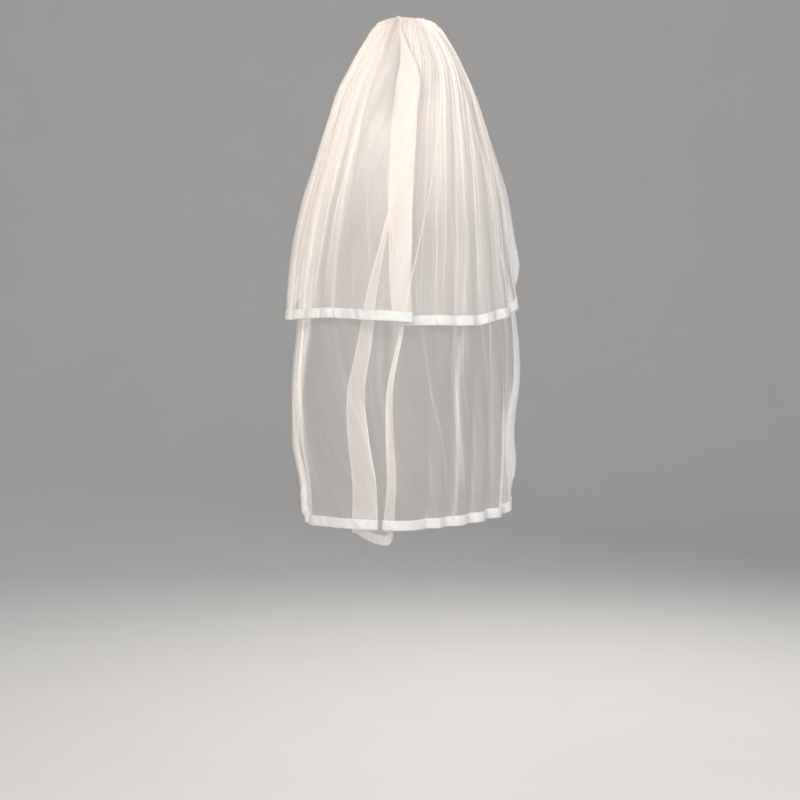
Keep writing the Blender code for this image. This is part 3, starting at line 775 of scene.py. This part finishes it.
class Finish:
    """A material and its nodes."""

    def __init__(self, name, **fixed):
        self.material = bpy.data.materials.new(name)
        self.material.use_nodes = True
        self.nodes = self.material.node_tree.nodes
        self.links = self.material.node_tree.links
        self.shader = self.nodes["Principled BSDF"]
        for socket, value in fixed.items():
            self.shader.inputs[socket.replace("_", " ")].default_value = value

    def node(self, kind, settings, values, output=0):
        """Adds a node with its settings, then the values or links of its sockets."""
        node = self.nodes.new(kind)
        for name, value in settings.items():
            setattr(node, name, value)
        for socket, value in values.items():
            self.feed(node.inputs[socket], value)
        return Amount(self, node.outputs[output])

    def feed(self, socket, value):
        """Links an amount to a socket, or sets the socket to a plain value."""
        if isinstance(value, Amount):
            self.links.new(value.socket, socket)
        else:
            socket.default_value = value

    def give(self, **values):
        """Feeds the shader's own sockets."""
        for socket, value in values.items():
            self.feed(self.shader.inputs[socket.replace("_", " ")], value)
        return self.material

    def uv(self, name):
        """A piece's own flat coordinates."""
        return self.node("ShaderNodeUVMap", {"uv_map": name}, {})

    def object_place(self):
        """The place on the object itself."""
        return self.node("ShaderNodeTexCoord", {}, {}, output=OBJECT_PLACE)

    def stretched(self, vector, x, y, z=1.0):
        """Coordinates stretched along each axis."""
        settings = {"operation": "MULTIPLY"}
        return self.node("ShaderNodeVectorMath", settings, {0: vector, 1: (x, y, z)})

    def noise(self, vector, scale, detail=2.0):
        """Soft uneven blotches."""
        return self.node("ShaderNodeTexNoise", {}, {"Vector": vector, "Scale": scale, "Detail": detail})

    def blend(self, amount, first, second):
        """A colour between two others."""
        settings = {"data_type": "RGBA"}
        values = {"Factor": amount, 6: (*first, 1.0), 7: (*second, 1.0)}
        return self.node("ShaderNodeMix", settings, values, output=2)

    def bump(self, height, strength, distance):
        """Low relief in the surface."""
        values = {"Height": height, "Strength": strength, "Distance": distance}
        return self.node("ShaderNodeBump", {}, values)


def tulle_finish():
    """Ivory silk tulle: sheer, denser where it is gathered, with faint streaks and a fine mesh."""
    finish = Finish("ivory_tulle_net", Roughness=0.82, Sheen_Weight=0.35, Sheen_Roughness=0.5)
    cut = finish.uv("cut")
    cover = finish.node("ShaderNodeAttribute", {"attribute_name": "cover"}, {}, output=2)
    mesh = finish.node(
        "ShaderNodeTexVoronoi",
        {"feature": "DISTANCE_TO_EDGE"},
        {"Vector": cut, "Scale": 620.0, "Randomness": 0.35},
    )
    threads = 1.0 - finish.node(
        "ShaderNodeMapRange",
        {"interpolation_type": "SMOOTHSTEP"},
        {"Value": mesh, 1: 0.02, 2: 0.30, 3: 0.0, 4: 1.0},
    )
    streaks = finish.noise(finish.stretched(cut, 130.0, 3.0), 1.0, 3.0)
    clouds = finish.noise(finish.stretched(cut, 7.0, 4.0), 1.0, 2.0)
    body = cover * (0.50 + 0.62 * streaks + 0.40 * clouds)
    alpha = finish.node("ShaderNodeClamp", {}, {0: body * (0.80 + 0.45 * threads), 1: 0.0, 2: MOST_COVER})
    colour = finish.blend(clouds, *TULLE_COLOURS)
    return finish.give(Alpha=alpha, Base_Color=colour, Normal=finish.bump(threads, 0.25, 0.0003))


def satin_finish():
    """Ivory satin ribbon: fine ribs across it, a soft shine and small crinkles, with shade painted into
    the crinkles' hollows and light painted on their crests.
    """
    finish = Finish("ivory_satin_ribbon", Sheen_Weight=0.2, Sheen_Roughness=0.35, Specular_IOR_Level=0.55)
    place = finish.uv("ribbon")
    ribs = finish.node(
        "ShaderNodeTexWave",
        {"wave_type": "BANDS", "bands_direction": "X"},
        {"Vector": place, "Scale": 420.0},
        output=1,
    )
    crinkles = finish.noise(finish.stretched(place, 260.0, 70.0), 1.0, 3.0)
    clouds = finish.noise(place, 22.0)
    # Painted shade and light: the colour darkens in the crinkles' hollows and lightens on their crests.
    colour = finish.blend(crinkles, *SATIN_PAINTED_SHADE_COLOURS)
    relief = finish.bump(0.7 * crinkles + 0.12 * ribs, 0.55, 0.0008)
    return finish.give(Base_Color=colour, Roughness=0.30 + 0.22 * clouds, Normal=relief)


def thread_finish():
    """Ivory sewing thread, with a fine twist."""
    finish = Finish("ivory_thread", Sheen_Weight=0.2)
    twist = finish.noise(finish.object_place(), 1600.0)
    colour = finish.blend(twist, *THREAD_COLOURS)
    return finish.give(Base_Color=colour, Roughness=0.55 + 0.2 * twist)


def plastic_finish():
    """Clear moulded plastic with faint flow marks."""
    finish = Finish("clear_comb_plastic", IOR=1.49, Transmission_Weight=0.85)
    flow = finish.noise(finish.stretched(finish.object_place(), 1.0, 0.3, 0.3), 240.0)
    colour = finish.blend(flow, *PLASTIC_COLOURS)
    return finish.give(Base_Color=colour, Roughness=0.10 + 0.12 * flow)


def floor_finish():
    """A plain pale floor."""
    finish = Finish("pale_floor")
    grain = finish.noise(finish.object_place(), 3.0)
    colour = finish.blend(grain, *FLOOR_COLOURS)
    return finish.give(Base_Color=colour, Roughness=0.85 + 0.1 * grain)


def aim(item, target):
    """Turns a camera or lamp to look at a point."""
    way = Vector(target) - item.location
    item.rotation_euler = way.to_track_quat("-Z", "Y").to_euler()


def add_lamp(lamp):
    """A square soft lamp, turned to the veil."""
    light = bpy.data.lights.new(lamp.name, "AREA")
    light.energy = lamp.power
    light.size = lamp.size
    light.color = lamp.colour
    item = bpy.data.objects.new(lamp.name, light)
    item.location = lamp.place
    bpy.context.scene.collection.objects.link(item)
    aim(item, lamp.target)


def select_far_edge(floor):
    """Selects the floor's edge behind the veil, in edit mode."""
    bpy.ops.mesh.select_all(action="DESELECT")
    mesh = bmesh.from_edit_mesh(floor.data)
    for edge in mesh.edges:
        ends = [vertex.co for vertex in edge.verts]
        edge.select = all(
            abs(co.y - FLOOR_REACH) < SMALL and abs(co.z - FLOOR_HEIGHT) < SMALL for co in ends
        )
    bmesh.update_edit_mesh(floor.data)


def make_floor(material):
    """A floor that sweeps up into a wall behind the veil."""
    bpy.ops.object.select_all(action="DESELECT")
    bpy.ops.mesh.primitive_plane_add(size=2.0 * FLOOR_REACH, location=(0.0, 0.0, FLOOR_HEIGHT))
    floor = bpy.context.object
    floor.name = "floor"
    bpy.ops.object.transform_apply(location=True, rotation=True, scale=True)
    bpy.ops.object.mode_set(mode="EDIT")
    bpy.ops.mesh.select_mode(type="EDGE")
    select_far_edge(floor)
    wall = {"value": (0.0, 0.0, WALL_TOP - FLOOR_HEIGHT)}
    bpy.ops.mesh.extrude_region_move(TRANSFORM_OT_translate=wall)
    select_far_edge(floor)
    bpy.ops.mesh.bevel(offset=SWEEP_RADIUS, segments=SWEEP_STEPS)
    bpy.ops.object.mode_set(mode="OBJECT")
    bpy.ops.object.shade_smooth()
    floor.data.materials.append(material)
    return floor


def add_studio():
    """The floor, the grey surround, the soft lamps and the camera."""
    make_floor(floor_finish())
    world = bpy.data.worlds.new("studio")
    world.use_nodes = True
    background = world.node_tree.nodes["Background"]
    background.inputs["Color"].default_value = SURROUND
    background.inputs["Strength"].default_value = 1.0
    bpy.context.scene.world = world
    bpy.context.scene.view_settings.view_transform = "Standard"
    for lamp in LAMPS:
        add_lamp(lamp)
    lens = bpy.data.cameras.new("camera")
    lens.lens = CAMERA_LENS
    lens.sensor_width = CAMERA_SENSOR
    camera = bpy.data.objects.new("camera", lens)
    camera.location = CAMERA_PLACE
    bpy.context.scene.collection.objects.link(camera)
    aim(camera, CAMERA_TARGET)
    bpy.context.scene.camera = camera


def build():
    """Makes the veil's pieces and finishes, and the studio round it."""
    tulle, satin = tulle_finish(), satin_finish()
    thread, plastic = thread_finish(), plastic_finish()
    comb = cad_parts["comb"]
    comb.data.materials.clear()
    comb.data.materials.append(plastic)
    for tier in (LONG_TIER, SHORT_TIER):
        net = make_net(tier, tulle)
        ribbon = make_ribbon(tier, satin)
        stitches = make_stitches(tier, thread)
        for piece, slot in ((net, "ivory_tulle"), (ribbon, "ivory_satin"), (stitches, "ivory_satin")):
            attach(piece, "root")
        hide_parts(f"{tier.name}_net")
        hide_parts(f"{tier.name}_ribbon")
    loops = make_comb_thread(thread)
    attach(loops, "root")
    add_studio()


build()
